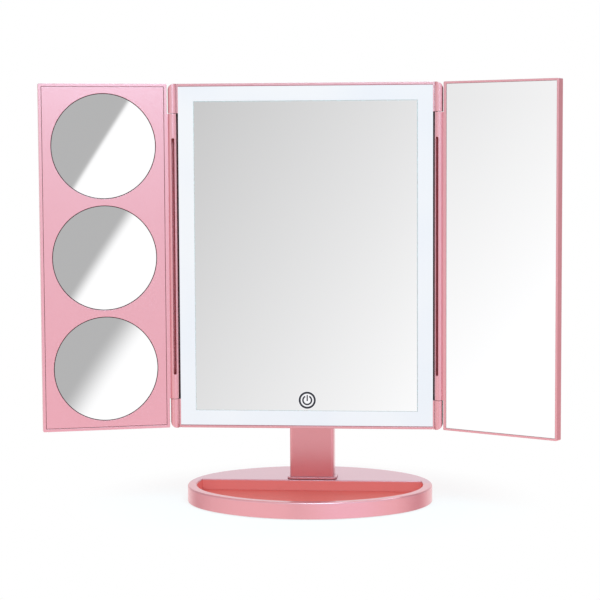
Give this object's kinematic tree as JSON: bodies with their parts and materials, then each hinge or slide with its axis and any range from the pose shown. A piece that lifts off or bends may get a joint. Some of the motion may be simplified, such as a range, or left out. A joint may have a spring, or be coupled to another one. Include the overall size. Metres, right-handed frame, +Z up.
{
  "type": "trifold vanity mirror",
  "caption": "Lighted tabletop vanity mirror: a centre mirror in a light frame, two folding wings, one with round mirrors, tilting on a neck above an oval tray base.",
  "frame": {"origin": "middle of the base's resting face, on the surface it stands on", "axes": "+X to the user's right, +Y away from the user, +Z up"},
  "size_m": [0.4034, 0.1691, 0.3352],
  "materials": {
    "rose_plastic": "satin rose-gold paint on moulded ABS",
    "mirror_glass": "polished, silvered at the back",
    "light_panel": "frosted white acrylic",
    "foam_tape": "double-sided foam tape",
    "non_slip_rubber": "fine-grained",
    "steel": "zinc plated",
    "hinge_steel": "polished",
    "white_plastic": "moulded",
    "dark_plastic": "moulded",
    "circuit_board": "solder-masked laminate",
    "led_white": "phosphor cap",
    "cell_wrap": "plain printed sleeve",
    "contact_metal": "nickel plated",
    "washer_plastic": "nylon"
  },
  "bodies": {
    "base": {"base_shell": "rose_plastic", "base_bottom_cover": "dark_plastic", "base_weight": "steel", "base_pad": "non_slip_rubber", "base_screws": "steel"},
    "neck": {"neck_front_shell": "rose_plastic", "neck_rear_shell": "rose_plastic", "neck_foot": "rose_plastic", "neck_stiffener": "steel", "tilt_hinge_block": "dark_plastic", "neck_screws": "steel"},
    "head": {"tilt_bracket": "steel", "bracket_screws": "steel", "tilt_shaft": "hinge_steel", "tilt_nut": "hinge_steel", "friction_washers": "washer_plastic", "head_front_frame": "rose_plastic", "head_rear_housing": "rose_plastic", "battery_housing": "rose_plastic", "light_diffuser": "light_panel", "main_mirror": "mirror_glass", "mirror_mounting_pad": "foam_tape", "touch_sensor": "contact_metal", "light_backing_plate": "white_plastic", "led_boards": "circuit_board", "led_chips": "led_white", "battery_tray": "white_plastic", "battery_cells": "cell_wrap", "battery_contacts": "contact_metal", "battery_springs": "contact_metal", "control_board": "circuit_board", "usb_socket": "contact_metal", "head_screws": "steel", "left_hinge_pins": "hinge_steel", "right_hinge_pins": "hinge_steel"},
    "battery_door": {"battery_door": "rose_plastic"},
    "left_wing": {"left_wing_frame": "rose_plastic", "left_face_plate": "rose_plastic", "round_mirror_top": "mirror_glass", "round_mirror_middle": "mirror_glass", "round_mirror_bottom": "mirror_glass", "round_mirror_pad_top": "foam_tape", "round_mirror_pad_middle": "foam_tape", "round_mirror_pad_bottom": "foam_tape", "left_hinge_bushes": "washer_plastic"},
    "right_wing": {"right_wing_frame": "rose_plastic", "right_wing_mirror": "mirror_glass", "right_mirror_pad": "foam_tape", "right_hinge_bushes": "washer_plastic"}
  },
  "joints": [
    {"name": "neck_release", "type": "slide", "parent": "base", "child": "neck", "axis": [0, 0, 1], "range_m": [0, 0.012]},
    {"name": "tilt", "type": "hinge", "parent": "neck", "child": "head", "pos_m": [0, 0.0295, 0.1212], "axis": [-1, 0, 0], "range_deg": [-10, 90]},
    {"name": "battery_door_release", "type": "slide", "parent": "head", "child": "battery_door", "axis": [0, 1, 0], "range_m": [0, 0.015]},
    {"name": "left_wing_fold", "type": "hinge", "parent": "head", "child": "left_wing", "pos_m": [-0.1047, -0.0313, 0.1992], "axis": [0, 0, 1], "range_deg": [-18, 162]},
    {"name": "right_wing_fold", "type": "hinge", "parent": "head", "child": "right_wing", "pos_m": [0.1047, -0.0313, 0.1992], "axis": [0, 0, -1], "range_deg": [-31, 149]}
  ]
}
